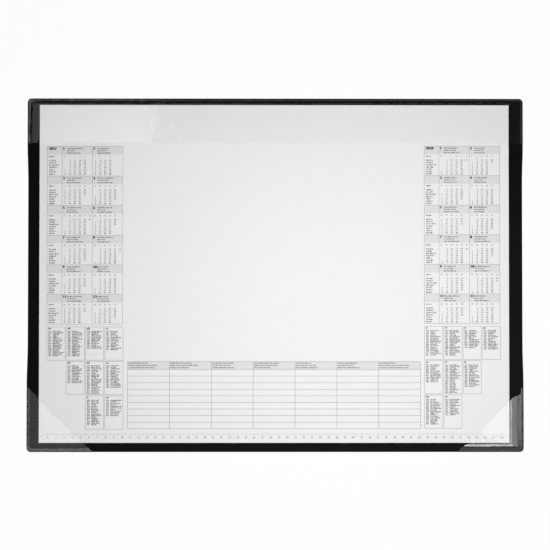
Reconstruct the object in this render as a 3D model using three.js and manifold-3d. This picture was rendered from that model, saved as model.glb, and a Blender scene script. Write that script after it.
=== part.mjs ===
// Desk pad calendar: a black desk mat that carries a pad of printed calendar leaves.
// A clear film band welded along the mat's back holds the head of the pad, and a clear
// film pocket welded to each front corner of the mat holds the pad's front corners.
// Millimetres, +Z up, +X to the user's right, +Y away from the user.
// The origin is the centre of the mat's footprint, on the desk.

import * as THREE from "three";
import { mergeVertices } from "three/addons/utils/BufferGeometryUtils.js";
import Module from "manifold-3d";

const wasm = await Module();
wasm.setup();

// Pad: calendar leaves on a card, glued together along the head.
const PAD_WIDTH = 570;
const PAD_DEPTH = 410;
const LEAF_COUNT = 25;
const LEAF_THICKNESS = 0.11;
const CARD_THICKNESS = 0.7;
const GLUE_THICKNESS = 0.4;

// Mat: the black border that shows on each side of the pad, and the mat's own form.
const BORDER_LEFT = 15.6;
const BORDER_RIGHT = 18.2;
const BORDER_FRONT = 11.6;
const BORDER_BACK = 8.5;
const MAT_THICKNESS = 2.2;
const MAT_CORNER_RADIUS = 5;
const MAT_EDGE_ROUND = 0.6;
const WAIST_DEPTH = 1.1;
const WAIST_RUN = 48;

// Films: clear sheet, welded flat along the mat's rim and lifted over the pad.
const FILM_THICKNESS = 0.3;
const FILM_CLEARANCE = 0.3;
const RIM_LEFT_BARE = 1.2;
const WELD_WIDTH = 2.3;
const SEAM_WIDTH = 0.8;
const SEAM_DEPTH = 0.1;
const BAND_DEPTH = 55;
const BAND_DRAW_BACK = 2.6;
const BAND_DRAW_WIDTH = 1.5;
const POCKET_LEG = 81.5;
const FILM_CORNER_RADIUS = 0.8;

// How late the film leaves the mat on its way to the pad: 0 is a straight ramp, 1 a step.
const FILM_SAG = 0.62;
const RAMP_STEPS = 8;
const SIDE_STEPS = 36;
const ARC_STEPS = 6;
const BEVEL_STEPS = 3;

// Worked out from the sizes above.
const MAT_WIDTH = BORDER_LEFT + PAD_WIDTH + BORDER_RIGHT;
const MAT_DEPTH = BORDER_FRONT + PAD_DEPTH + BORDER_BACK;
const LEAF_DEPTH = PAD_DEPTH - GLUE_THICKNESS;
const BLOCK_HEIGHT = LEAF_COUNT * LEAF_THICKNESS;
const PAD_HEIGHT = CARD_THICKNESS + BLOCK_HEIGHT;
const PAD_TOP = MAT_THICKNESS + PAD_HEIGHT;
const WELD_INNER = RIM_LEFT_BARE + WELD_WIDTH;
const FILM_RISE = PAD_HEIGHT + FILM_CLEARANCE;
const CUTTER_REACH = 20;

// Rectangles in plan, as distances of the four sides from the origin.
const MAT_EDGE = {
  left: -MAT_WIDTH / 2,
  right: MAT_WIDTH / 2,
  front: -MAT_DEPTH / 2,
  back: MAT_DEPTH / 2,
};
const PAD_EDGE = {
  left: MAT_EDGE.left + BORDER_LEFT,
  right: MAT_EDGE.right - BORDER_RIGHT,
  front: MAT_EDGE.front + BORDER_FRONT,
  back: MAT_EDGE.back - BORDER_BACK,
};

// A rectangle drawn in from all four sides by the same distance.
function inset(edge, distance) {
  return {
    left: edge.left + distance,
    right: edge.right - distance,
    front: edge.front + distance,
    back: edge.back - distance,
  };
}

const FILM_EDGE = inset(MAT_EDGE, RIM_LEFT_BARE);
const WELD_EDGE = inset(MAT_EDGE, WELD_INNER);
const FILM_FOOT = inset(PAD_EDGE, -FILM_CLEARANCE);

// Where the films' free edges meet the mat's sides.
const BAND_FREE_EDGE = MAT_EDGE.back - BAND_DEPTH;
const POCKET_TIP = MAT_EDGE.front + POCKET_LEG;

// Solids

// A closed three.js geometry as a manifold-3d solid.
function solidOf(geometry) {
  const bare = geometry.clone();
  bare.deleteAttribute("normal");
  bare.deleteAttribute("uv");
  const merged = mergeVertices(bare, 1e-4);
  return new wasm.Manifold(
    new wasm.Mesh({
      numProp: 3,
      vertProperties: new Float32Array(merged.attributes.position.array),
      triVerts: new Uint32Array(merged.index.array),
    }),
  );
}

// A manifold-3d solid as a three.js geometry with flat-shaded faces.
function geometryOf(solid) {
  const mesh = solid.getMesh();
  const geometry = new THREE.BufferGeometry();
  geometry.setAttribute("position", new THREE.BufferAttribute(mesh.vertProperties, 3));
  geometry.setIndex(new THREE.BufferAttribute(mesh.triVerts, 1));
  const faceted = geometry.toNonIndexed();
  faceted.computeVertexNormals();
  return faceted;
}

// A closed solid through a stack of rings that have the same number of points,
// each ring running anticlockwise seen from above, from the lowest to the highest.
function loftRings(rings) {
  const count = rings[0].length;
  const position = rings.flat().flatMap((point) => [point.x, point.y, point.z]);
  const index = [];
  for (let ring = 0; ring + 1 < rings.length; ring += 1) {
    for (let i = 0; i < count; i += 1) {
      const low = ring * count + i;
      const lowNext = ring * count + ((i + 1) % count);
      index.push(low, lowNext, lowNext + count, low, lowNext + count, low + count);
    }
  }
  const top = (rings.length - 1) * count;
  for (let i = 1; i + 1 < count; i += 1) {
    index.push(0, i + 1, i);
    index.push(top, top + i, top + i + 1);
  }
  const geometry = new THREE.BufferGeometry();
  geometry.setAttribute("position", new THREE.Float32BufferAttribute(position, 3));
  geometry.setIndex(index);
  return geometry;
}

// A plan outline stood up as a cutter that reaches well below and above the films.
function cutterFrom(shape) {
  const depth = PAD_TOP + 2 * CUTTER_REACH;
  const geometry = new THREE.ExtrudeGeometry(shape, { depth, bevelEnabled: false });
  geometry.translate(0, 0, -CUTTER_REACH);
  return solidOf(geometry);
}

// A plan rectangle with rounded corners at one height, anticlockwise from above.
function roundedRing(edge, radius, z) {
  const centres = [
    [edge.left + radius, edge.front + radius, Math.PI],
    [edge.right - radius, edge.front + radius, 1.5 * Math.PI],
    [edge.right - radius, edge.back - radius, 0],
    [edge.left + radius, edge.back - radius, 0.5 * Math.PI],
  ];
  return centres.flatMap(([x, y, start]) =>
    Array.from({ length: ARC_STEPS + 1 }, (_, step) => {
      const angle = start + (step / ARC_STEPS) * (Math.PI / 2);
      return new THREE.Vector3(x + radius * Math.cos(angle), y + radius * Math.sin(angle), z);
    }),
  );
}

function boxBetween(edge, bottom, height) {
  const geometry = new THREE.BoxGeometry(
    edge.right - edge.left,
    edge.back - edge.front,
    height,
  );
  geometry.translate(
    (edge.left + edge.right) / 2,
    (edge.front + edge.back) / 2,
    bottom + height / 2,
  );
  return geometry;
}

// Mat

function smoothStep(t) {
  return THREE.MathUtils.smoothstep(t, 0, 1);
}

// How far the mat's sides draw in at y: the welded films hold the mat's ends out,
// and the free stretch between them shrinks back a little.
function waistAt(y) {
  const fromBand = smoothStep((BAND_FREE_EDGE - y) / WAIST_RUN);
  const fromPocket = smoothStep((y - POCKET_TIP) / WAIST_RUN);
  return WAIST_DEPTH * fromBand * fromPocket;
}

// The points of one side between its corner arcs, from front to back.
function sidePoints(sideX, inward) {
  const start = MAT_EDGE.front + MAT_CORNER_RADIUS;
  const end = MAT_EDGE.back - MAT_CORNER_RADIUS;
  return Array.from({ length: SIDE_STEPS + 1 }, (_, step) => {
    const y = THREE.MathUtils.lerp(start, end, step / SIDE_STEPS);
    return new THREE.Vector2(sideX + inward * waistAt(y), y);
  });
}

function matOutline() {
  const { left, right, front, back } = MAT_EDGE;
  const r = MAT_CORNER_RADIUS;
  const shape = new THREE.Shape();
  shape.moveTo(left + r, front);
  shape.lineTo(right - r, front);
  shape.absarc(right - r, front + r, r, -Math.PI / 2, 0, false);
  sidePoints(right, -1).forEach((point) => shape.lineTo(point.x, point.y));
  shape.absarc(right - r, back - r, r, 0, Math.PI / 2, false);
  shape.lineTo(left + r, back);
  shape.absarc(left + r, back - r, r, Math.PI / 2, Math.PI, false);
  sidePoints(left, 1).reverse().forEach((point) => shape.lineTo(point.x, point.y));
  shape.absarc(left + r, front + r, r, Math.PI, 1.5 * Math.PI, false);
  return shape;
}

// The mat is one flexible sheet with softly rounded upper and lower rims.
function matGeometry() {
  const geometry = new THREE.ExtrudeGeometry(matOutline(), {
    depth: MAT_THICKNESS - 2 * MAT_EDGE_ROUND,
    curveSegments: ARC_STEPS,
    bevelThickness: MAT_EDGE_ROUND,
    bevelSize: MAT_EDGE_ROUND,
    bevelOffset: -MAT_EDGE_ROUND,
    bevelSegments: BEVEL_STEPS,
  });
  geometry.translate(0, 0, MAT_EDGE_ROUND);
  return geometry;
}

// Pad

const LEAF_EDGE = { ...PAD_EDGE, back: PAD_EDGE.front + LEAF_DEPTH };
const GLUE_EDGE = { ...PAD_EDGE, front: LEAF_EDGE.back };

function cardGeometry() {
  return boxBetween(LEAF_EDGE, MAT_THICKNESS, CARD_THICKNESS);
}

function leafBlockGeometry() {
  return boxBetween(LEAF_EDGE, MAT_THICKNESS + CARD_THICKNESS, BLOCK_HEIGHT);
}

function glueGeometry() {
  return boxBetween(GLUE_EDGE, MAT_THICKNESS, PAD_HEIGHT);
}

// Films

// The film's section from the weld line to the pad's edge, as shares of run and rise:
// it leaves the weld flat, sags along the mat, then climbs to the pad's top edge.
function rampSection() {
  const curve = new THREE.QuadraticBezierCurve(
    new THREE.Vector2(0, 0),
    new THREE.Vector2(FILM_SAG, 0),
    new THREE.Vector2(1, 1),
  );
  return curve.getPoints(RAMP_STEPS);
}

const RAMP = rampSection();

// A plan rectangle part of the way from the weld line to the foot on the pad.
function rampRectangle(share) {
  const between = (side) => THREE.MathUtils.lerp(WELD_EDGE[side], FILM_FOOT[side], share);
  return {
    left: between("left"),
    right: between("right"),
    front: between("front"),
    back: between("back"),
  };
}

// The film's thickness measured straight up at one step of the ramp, from its slope
// over the mean run, so that it stays about the same measured square to the film.
function uprightThickness(step) {
  const before = RAMP[Math.max(step - 1, 0)];
  const after = RAMP[Math.min(step + 1, RAMP_STEPS)];
  const meanBorder = (BORDER_LEFT + BORDER_RIGHT + BORDER_FRONT + BORDER_BACK) / 4;
  const run = (after.x - before.x) * (meanBorder - WELD_INNER);
  const rise = (after.y - before.y) * FILM_RISE;
  return FILM_THICKNESS * Math.hypot(1, rise / run);
}

// Everything under one skin of a film that covers the whole mat and pad.
// The under skin stands on the mat and clear of the pad, the upper one a film above it.
function spaceUnderFilm(isUpperSkin) {
  const lift = isUpperSkin ? FILM_THICKNESS : 0;
  const floor = isUpperSkin ? MAT_THICKNESS : -CUTTER_REACH;
  const weldRadius = Math.max(MAT_CORNER_RADIUS - WELD_INNER, FILM_CORNER_RADIUS);
  const rings = [
    roundedRing(MAT_EDGE, MAT_CORNER_RADIUS, floor),
    roundedRing(MAT_EDGE, MAT_CORNER_RADIUS, MAT_THICKNESS + lift),
  ];
  RAMP.forEach((point, step) => {
    const isEnd = step === 0 || step === RAMP_STEPS;
    const upright = isUpperSkin && !isEnd ? uprightThickness(step) : lift;
    const z = MAT_THICKNESS + point.y * FILM_RISE + upright;
    const radius = THREE.MathUtils.lerp(weldRadius, FILM_CORNER_RADIUS, point.x);
    rings.push(roundedRing(rampRectangle(point.x), radius, z));
  });
  return solidOf(loftRings(rings));
}

// The weld seam: a shallow line pressed round the middle of the flat, welded rim.
function seamGroove() {
  const outer = RIM_LEFT_BARE + (WELD_WIDTH - SEAM_WIDTH) / 2;
  const bottom = MAT_THICKNESS + FILM_THICKNESS - SEAM_DEPTH;
  const outside = boxBetween(inset(MAT_EDGE, outer), bottom, CUTTER_REACH);
  const inside = boxBetween(
    inset(MAT_EDGE, outer + SEAM_WIDTH),
    bottom - CUTTER_REACH,
    3 * CUTTER_REACH,
  );
  return solidOf(outside).subtract(solidOf(inside));
}

// A film over the whole pad, welded along all four sides: the three real films are
// the pieces of it that their plan outlines cut out.
const WHOLE_FILM = spaceUnderFilm(true).subtract(spaceUnderFilm(false)).subtract(seamGroove());

function filmGeometry(planShape) {
  return geometryOf(WHOLE_FILM.intersect(cutterFrom(planShape)));
}

// The band's free edge beside one border, from the mat's side to the pad: it is a
// straight cut that the climb up the pad's side draws back a little.
function bandEdgeBeside(side, inward, border) {
  const onRamp = (share) => THREE.MathUtils.lerp(WELD_INNER, border - FILM_CLEARANCE, share);
  const climb = RAMP.map(
    (point) => [onRamp(point.x), BAND_FREE_EDGE + BAND_DRAW_BACK * point.y],
  );
  const rim = [RIM_LEFT_BARE, BAND_FREE_EDGE];
  const landing = [border + BAND_DRAW_WIDTH, BAND_FREE_EDGE];
  return [rim, ...climb, landing].map(([across, y]) => new THREE.Vector2(side + inward * across, y));
}

// The head band reaches from side to side, and its free edge runs across the pad.
function bandShape() {
  const { left, right, back } = FILM_EDGE;
  const r = MAT_CORNER_RADIUS - RIM_LEFT_BARE;
  const shape = new THREE.Shape([
    ...bandEdgeBeside(MAT_EDGE.left, 1, BORDER_LEFT),
    ...bandEdgeBeside(MAT_EDGE.right, -1, BORDER_RIGHT).reverse(),
  ]);
  shape.absarc(right - r, back - r, r, 0, Math.PI / 2, false);
  shape.absarc(left + r, back - r, r, Math.PI / 2, Math.PI, false);
  return shape;
}

// How much longer the film is than its plan, from the mat's edge to a share of the
// way up the ramp beside a border of the given width.
function climbSurplus(border, share) {
  const run = border - WELD_INNER - FILM_CLEARANCE;
  let surplus = 0;
  for (let step = 1; step <= RAMP_STEPS; step += 1) {
    const across = (RAMP[step].x - RAMP[step - 1].x) * run;
    const up = (RAMP[step].y - RAMP[step - 1].y) * FILM_RISE;
    if (RAMP[step].x <= share + 1e-9) {
      surplus += Math.hypot(across, up) - across;
    }
  }
  return surplus;
}

// The free edge of a pocket, as distances from the mat's side and from its front.
// It is a straight cut at 45 degrees in the flat film, so in plan it steps towards
// the corner wherever the film spends length on climbing the pad's side.
function pocketFreeEdge(sideBorder) {
  const sideTotal = climbSurplus(sideBorder, 1);
  const frontTotal = climbSurplus(BORDER_FRONT, 1);
  const reach = POCKET_LEG - sideTotal - frontTotal;
  const onRamp = (border, share) =>
    THREE.MathUtils.lerp(WELD_INNER, border - FILM_CLEARANCE, share);
  const besideSide = RAMP.map((point) => {
    const fromSide = onRamp(sideBorder, point.x);
    const left = sideTotal - climbSurplus(sideBorder, point.x);
    return [fromSide, reach + left - fromSide];
  });
  const besideFront = RAMP.map((point) => {
    const fromFront = onRamp(BORDER_FRONT, point.x);
    const left = frontTotal - climbSurplus(BORDER_FRONT, point.x);
    return [reach + left - fromFront, fromFront];
  });
  const startSide = [RIM_LEFT_BARE, reach + sideTotal - RIM_LEFT_BARE];
  const endFront = [reach + frontTotal - RIM_LEFT_BARE, RIM_LEFT_BARE];
  return [startSide, ...besideSide, ...besideFront.reverse(), endFront];
}

// A pocket's plan outline. mirror is 1 for the left corner and -1 for the right one.
function pocketShape(sideBorder, mirror) {
  const side = mirror > 0 ? MAT_EDGE.left : MAT_EDGE.right;
  const place = ([fromSide, fromFront]) =>
    new THREE.Vector2(side + mirror * fromSide, MAT_EDGE.front + fromFront);
  const centre = place([MAT_CORNER_RADIUS, MAT_CORNER_RADIUS]);
  const r = MAT_CORNER_RADIUS - RIM_LEFT_BARE;
  const corner = Array.from({ length: ARC_STEPS + 1 }, (_, step) => {
    const angle = (step / ARC_STEPS) * (Math.PI / 2);
    const across = -mirror * r * Math.sin(angle);
    return new THREE.Vector2(centre.x + across, centre.y - r * Math.cos(angle));
  });
  return new THREE.Shape([...pocketFreeEdge(sideBorder).map(place), ...corner]);
}

// Materials

const matteBlack = new THREE.MeshStandardMaterial({
  name: "mat_plastic",
  color: 0x0e0e0f,
  roughness: 0.55,
  metalness: 0,
});
const whitePaper = new THREE.MeshStandardMaterial({
  name: "paper",
  color: 0xf1f1f0,
  roughness: 0.9,
  metalness: 0,
});
const greyBoard = new THREE.MeshStandardMaterial({
  name: "board",
  color: 0x9a968d,
  roughness: 0.95,
  metalness: 0,
});
const paleGlue = new THREE.MeshStandardMaterial({
  name: "glue",
  color: 0xe6e3d8,
  roughness: 0.5,
  metalness: 0,
});
const clearFilm = new THREE.MeshStandardMaterial({
  name: "film",
  color: 0xf4f6f7,
  roughness: 0.15,
  metalness: 0,
  transparent: true,
  opacity: 0.3,
});

// Assembly

const deskPadCalendar = new THREE.Group();

function addPiece(name, geometry, material) {
  const mesh = new THREE.Mesh(geometry, material);
  mesh.name = name;
  deskPadCalendar.add(mesh);
}

addPiece("base_mat", matGeometry(), matteBlack);
addPiece("backing_card", cardGeometry(), greyBoard);
addPiece("leaf_block", leafBlockGeometry(), whitePaper);
addPiece("glue_binding", glueGeometry(), paleGlue);
addPiece("head_band", filmGeometry(bandShape()), clearFilm);
addPiece("corner_pocket_left", filmGeometry(pocketShape(BORDER_LEFT, 1)), clearFilm);
addPiece("corner_pocket_right", filmGeometry(pocketShape(BORDER_RIGHT, -1)), clearFilm);

export default deskPadCalendar;
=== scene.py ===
"""Finishes, print and studio for a desk pad calendar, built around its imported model.

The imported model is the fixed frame: a black desk mat, a pad of leaves on a card with a
line of glue at its head, and three clear films. This script gives each its finish, builds
the leaves and the films at their full detail, prints the top leaf and lights the whole.
All lengths are in metres unless a name or a docstring says millimetres.
"""

import calendar
import datetime
import logging
import math
import random
from bisect import bisect_right
from collections.abc import Sequence
from dataclasses import dataclass, field, replace
from enum import Enum, IntEnum

import bmesh
import bpy
from mathutils import Euler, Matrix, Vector


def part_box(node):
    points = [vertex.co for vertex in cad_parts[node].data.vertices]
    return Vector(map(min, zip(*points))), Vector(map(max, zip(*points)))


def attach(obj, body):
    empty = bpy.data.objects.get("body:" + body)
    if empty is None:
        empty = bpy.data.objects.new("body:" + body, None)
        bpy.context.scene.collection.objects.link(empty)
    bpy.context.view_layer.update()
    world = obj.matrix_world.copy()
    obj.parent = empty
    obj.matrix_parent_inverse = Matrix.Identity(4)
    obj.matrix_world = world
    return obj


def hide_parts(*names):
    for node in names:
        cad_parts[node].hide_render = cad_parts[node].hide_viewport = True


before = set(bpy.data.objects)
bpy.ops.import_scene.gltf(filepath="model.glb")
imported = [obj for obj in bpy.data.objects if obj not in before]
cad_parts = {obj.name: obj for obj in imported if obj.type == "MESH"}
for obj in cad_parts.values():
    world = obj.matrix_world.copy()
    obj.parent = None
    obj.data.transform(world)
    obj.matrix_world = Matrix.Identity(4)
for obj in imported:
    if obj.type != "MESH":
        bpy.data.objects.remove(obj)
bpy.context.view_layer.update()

LOG = logging.getLogger("desk_pad_calendar")
MM = 0.001
BODY = "root"

Colour = tuple[float, float, float]
Point = tuple[float, float]
WHITE = (1.0, 1.0, 1.0, 1.0)


def grey(level: float) -> Colour:
    """Makes a neutral colour.

    Args:
        level: Its linear level, the same in every channel.

    Returns:
        The colour.
    """
    return (level, level, level)


@dataclass(frozen=True)
class NodeBox:
    """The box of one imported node, in metres."""

    left: float
    right: float
    front: float
    back: float
    bottom: float
    top: float

    @classmethod
    def of(cls, node: str) -> "NodeBox":
        """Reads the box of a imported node.

        Args:
            node: The node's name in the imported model.

        Returns:
            Its box at rest.
        """
        low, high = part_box(node)
        return cls(low.x, high.x, low.y, high.y, low.z, high.z)


@dataclass(frozen=True)
class Grain:
    """Soft noise that is fixed to a surface: its size in metres and its finer layers."""

    size: float
    detail: float
    stretch: Vector | None = None


class Shading:
    """A new material, with short ways to add its nodes and join them."""

    def __init__(self, name: str) -> None:
        """Starts an empty material.

        Args:
            name: The material's name.
        """
        self.material = bpy.data.materials.new(name)
        self.material.use_nodes = True
        self.tree = self.material.node_tree
        self.tree.nodes.clear()
        self.output = self.tree.nodes.new("ShaderNodeOutputMaterial")

    def add(self, kind: str, **values: object) -> bpy.types.Node:
        """Adds a node and sets its input sockets by name.

        Args:
            kind: The node's type without the ShaderNode prefix.
            **values: Input values, with spaces in their names written as underscores.

        Returns:
            The new node.
        """
        node = self.tree.nodes.new(f"ShaderNode{kind}")
        for key, value in values.items():
            node.inputs[key.replace("_", " ")].default_value = value
        return node

    def link(self, source: bpy.types.NodeSocket, target: bpy.types.NodeSocket) -> None:
        """Joins two sockets.

        Args:
            source: The output socket.
            target: The input socket.
        """
        self.tree.links.new(source, target)

    def place(self) -> bpy.types.NodeSocket:
        """Reads where on the piece a point of its surface is.

        Returns:
            The point, in metres, as a texture coordinate.
        """
        return self.add("TexCoord").outputs["Object"]

    def noise(self, grain: Grain) -> bpy.types.NodeSocket:
        """Adds soft noise.

        Args:
            grain: Its size, its layers and the factors that widen it along each axis, if any.

        Returns:
            The noise's value, from 0 to 1.
        """
        texture = self.add("TexNoise", Scale=1 / grain.size, Detail=grain.detail, Roughness=0.55)
        place = self.place()
        if grain.stretch is not None:
            mapping = self.add("Mapping")
            mapping.inputs["Scale"].default_value = [1 / factor for factor in grain.stretch]
            self.link(place, mapping.inputs["Vector"])
            place = mapping.outputs["Vector"]
        self.link(place, texture.inputs["Vector"])
        return texture.outputs["Fac"]

    def spread(self, source: bpy.types.NodeSocket, low: float, high: float) -> bpy.types.NodeSocket:
        """Spreads a value that runs from 0 to 1 over another range.

        Args:
            source: The value.
            low: What 0 becomes.
            high: What 1 becomes.

        Returns:
            The new value.
        """
        node = self.add("MapRange", To_Min=low, To_Max=high)
        self.link(source, node.inputs["Value"])
        return node.outputs["Result"]

    def uneven(self, level: float, grain: Grain) -> bpy.types.NodeSocket:
        """Adds a value that wanders up and down by half over the piece.

        Args:
            level: The middle of its range.
            grain: How it wanders.

        Returns:
            The value.
        """
        return self.spread(self.noise(grain), level * 0.5, level * 1.5)

    def tint(self, source: bpy.types.NodeSocket, low: Colour, high: Colour) -> bpy.types.NodeSocket:
        """Turns a value into a colour between two colours.

        Args:
            source: The value, from 0 to 1.
            low: The colour at 0.25.
            high: The colour at 0.75.

        Returns:
            The colour.
        """
        ramp = self.add("ValToRGB")
        ramp.color_ramp.elements[0].position = 0.25
        ramp.color_ramp.elements[0].color = (*low, 1)
        ramp.color_ramp.elements[1].position = 0.75
        ramp.color_ramp.elements[1].color = (*high, 1)
        self.link(source, ramp.inputs["Fac"])
        return ramp.outputs["Color"]

    def bump(
        self,
        height: bpy.types.NodeSocket,
        depth: float,
        strength: float = 1.0,
        under: bpy.types.NodeSocket | None = None,
    ) -> bpy.types.NodeSocket:
        """Turns a height into a bumped normal.

        Args:
            height: The height, from 0 to 1.
            depth: What a height of 1 stands for, in metres.
            strength: The share of the bump that shows.
            under: A normal that this bump is added to, if any.

        Returns:
            The normal.
        """
        node = self.add("Bump", Strength=strength, Distance=depth)
        self.link(height, node.inputs["Height"])
        if under is not None:
            self.link(under, node.inputs["Normal"])
        return node.outputs["Normal"]

    def mixed(
        self, share: bpy.types.NodeSocket, first: bpy.types.Node, second: bpy.types.Node
    ) -> bpy.types.Node:
        """Mixes two shaders.

        Args:
            share: The share of the second one.
            first: One shader.
            second: The other shader.

        Returns:
            The mixing node.
        """
        node = self.add("MixShader")
        sources = (share, first.outputs[0], second.outputs[0])
        for number, source in enumerate(sources):
            self.link(source, node.inputs[number])
        return node

    def finish(self, shader: bpy.types.Node) -> bpy.types.Material:
        """Puts a shader on the surface.

        Args:
            shader: The last shader node.

        Returns:
            The finished material.
        """
        self.link(shader.outputs[0], self.output.inputs["Surface"])
        return self.material


@dataclass(frozen=True)
class GrainedSheet:
    """Soft black plastic sheet with a fine pressed grain and a slight sheen."""

    name: str = "grained_black_sheet"
    dark: Colour = grey(0.0008)
    light: Colour = grey(0.0018)
    sheen: float = 0.03
    roughness_low: float = 0.42
    roughness_high: float = 0.58
    pebble: float = 0.45 * MM
    pebble_depth: float = 0.03 * MM
    shine_grain: Grain = Grain(1.8 * MM, 3)
    cloud: Grain = Grain(60 * MM, 4)
    wave_depth: float = 0.4 * MM
    wave_share: float = 0.6

    def material(self) -> bpy.types.Material:
        """Builds the material.

        Returns:
            The material.
        """
        shading = Shading(self.name)
        shader = shading.add("BsdfPrincipled", Specular_IOR_Level=self.sheen)
        cloud = shading.noise(self.cloud)
        shading.link(shading.tint(cloud, self.dark, self.light), shader.inputs["Base Color"])
        fine = shading.noise(self.shine_grain)
        roughness = shading.spread(fine, self.roughness_low, self.roughness_high)
        shading.link(roughness, shader.inputs["Roughness"])
        pebble = shading.add("TexVoronoi", Scale=1 / self.pebble)
        pebble.feature = "SMOOTH_F1"
        shading.link(shading.place(), pebble.inputs["Vector"])
        normal = shading.bump(pebble.outputs["Distance"], self.pebble_depth)
        wave = shading.bump(cloud, self.wave_depth, self.wave_share, under=normal)
        shading.link(wave, shader.inputs["Normal"])
        return shading.finish(shader)


@dataclass(frozen=True)
class MottledFinish:
    """A plain surface whose colour wanders between two tones, with a fine relief.

    The relief follows the grain of the colour, unless it has one of its own.
    """

    name: str
    dark: Colour
    light: Colour
    roughness: float
    sheen: float
    grain: Grain
    relief: Grain | None = None
    relief_depth: float = 0.0

    def material(self) -> bpy.types.Material:
        """Builds the material.

        Returns:
            The material.
        """
        shading = Shading(self.name)
        shader = shading.add(
            "BsdfPrincipled", Roughness=self.roughness, Specular_IOR_Level=self.sheen
        )
        mottle = shading.noise(self.grain)
        shading.link(shading.tint(mottle, self.dark, self.light), shader.inputs["Base Color"])
        if self.relief_depth:
            relief = mottle if self.relief is None else shading.noise(self.relief)
            shading.link(shading.bump(relief, self.relief_depth), shader.inputs["Normal"])
        return shading.finish(shader)


# Uncoated white paper with faint fibres and a faintly uneven white.
WRITING_PAPER = MottledFinish(
    "writing_paper",
    dark=(0.788, 0.788, 0.783),
    light=(0.802, 0.802, 0.797),
    roughness=0.9,
    sheen=0.1,
    grain=Grain(9 * MM, 6),
    relief=Grain(0.9 * MM, 5, stretch=Vector((3, 1, 1))),
    relief_depth=0.012 * MM,
)

# Raw grey board with flecks and a felted surface.
GREY_BOARD = MottledFinish(
    "grey_board",
    dark=(0.28, 0.27, 0.245),
    light=(0.42, 0.4, 0.37),
    roughness=0.95,
    sheen=0.15,
    grain=Grain(0.7 * MM, 8),
    relief_depth=0.05 * MM,
)

# Dried white padding glue, brushed along the head of the pad.
PADDING_GLUE = MottledFinish(
    "padding_glue",
    dark=(0.66, 0.64, 0.56),
    light=(0.8, 0.78, 0.7),
    roughness=0.42,
    sheen=0.5,
    grain=Grain(0.5 * MM, 4, stretch=Vector((14, 1, 1))),
    relief_depth=0.12 * MM,
)


def cut_edges(leaf: float) -> MottledFinish:
    """Describes the cut edges of stacked leaves: paper white, banded darker up the stack as painted
    shade for the gaps between the leaves.

    Args:
        leaf: The height of one leaf in the stack.

    Returns:
        The finish.
    """
    return MottledFinish(
        "cut_leaf_edges_painted_gap_shade",
        # Painted shade: the darker tone, banded up the stack at the pitch of the leaves, stands in
        # for the shade in the gaps between them.
        dark=(0.5, 0.5, 0.49),
        light=(0.8, 0.8, 0.79),
        roughness=0.9,
        sheen=0.15,
        grain=Grain(leaf, 3, stretch=Vector((120, 120, 1))),
        relief_depth=0.05 * MM,
    )


@dataclass(frozen=True)
class ClearFilm:
    """Clear plastic film: mostly see-through, with a gloss and a milky haze."""

    name: str = "clear_film"
    haze: float = 0.004
    haze_colour: Colour = grey(0.9)
    cloud: Grain = Grain(14 * MM, 5)
    index: float = 1.52
    gloss_roughness: float = 0.09
    ripple: Grain = Grain(55 * MM, 3)
    ripple_depth: float = 0.8 * MM

    def material(self) -> bpy.types.Material:
        """Builds the material. The film's under side adds neither gloss nor haze.

        Returns:
            The material.
        """
        shading = Shading(self.name)
        normal = self.surface(shading)
        clear = shading.add("BsdfTransparent", Color=WHITE)
        milk = shading.add("BsdfDiffuse", Color=(*self.haze_colour, 1))
        hazy = shading.mixed(shading.uneven(self.haze, self.cloud), clear, milk)
        gloss = shading.add("BsdfGlossy", Roughness=self.gloss_roughness)
        shading.link(normal, gloss.inputs["Normal"])
        fresnel = shading.add("Fresnel", IOR=self.index)
        shading.link(normal, fresnel.inputs["Normal"])
        upper = shading.mixed(fresnel.outputs[0], hazy, gloss)
        is_under = shading.add("NewGeometry").outputs["Backfacing"]
        return shading.finish(shading.mixed(is_under, upper, clear))

    def surface(self, shading: Shading) -> bpy.types.NodeSocket:
        """The film's long, low ripples.

        Args:
            shading: The material under construction.

        Returns:
            The bumped normal.
        """
        return shading.bump(shading.noise(self.ripple), self.ripple_depth)


@dataclass(frozen=True)
class WeldedFilm(ClearFilm):
    """The pressed seam of a welded film: the same film, milkier, with fine cross ribs."""

    name: str = "welded_film"
    haze: float = 0.04
    gloss_roughness: float = 0.3
    rib: float = 1.1 * MM
    rib_depth: float = 0.02 * MM

    def surface(self, shading: Shading) -> bpy.types.NodeSocket:
        """The ribs that the welding bar leaves.

        Args:
            shading: The material under construction.

        Returns:
            The bumped normal.
        """
        wave = shading.add("TexWave", Scale=1 / (self.rib * math.tau), Distortion=0.4)
        wave.bands_direction = "DIAGONAL"
        shading.link(shading.place(), wave.inputs["Vector"])
        return shading.bump(wave.outputs["Fac"], self.rib_depth)


@dataclass(frozen=True)
class CutFilm:
    """The cut edge of the film, which catches a little light but stays mostly clear."""

    name: str = "cut_film"
    haze: float = 0.1
    haze_colour: Colour = grey(0.9)
    grain: Grain = Grain(0.8 * MM, 3)

    def material(self) -> bpy.types.Material:
        """Builds the material.

        Returns:
            The material.
        """
        shading = Shading(self.name)
        clear = shading.add("BsdfTransparent", Color=WHITE)
        milk = shading.add("BsdfDiffuse", Color=(*self.haze_colour, 1))
        return shading.finish(shading.mixed(shading.uneven(self.haze, self.grain), clear, milk))


class Ink(IntEnum):
    """The inks of the leaf, each the number of its material slot."""

    BOLD = 0
    TEXT = 1
    FINE = 2
    TINT = 3


def print_ink(name: str, level: float, mottle: float = 0.12) -> MottledFinish:
    """Describes a flat layer of offset ink, slightly mottled as on uncoated paper.

    Args:
        name: The ink's name.
        level: Its linear grey level.
        mottle: How far the level wanders, as a share of it.

    Returns:
        The finish.
    """
    return MottledFinish(
        name,
        dark=grey(level * (1 - mottle)),
        light=grey(level * (1 + mottle)),
        roughness=0.85,
        sheen=0.08,
        grain=Grain(0.35 * MM, 4),
    )


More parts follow.
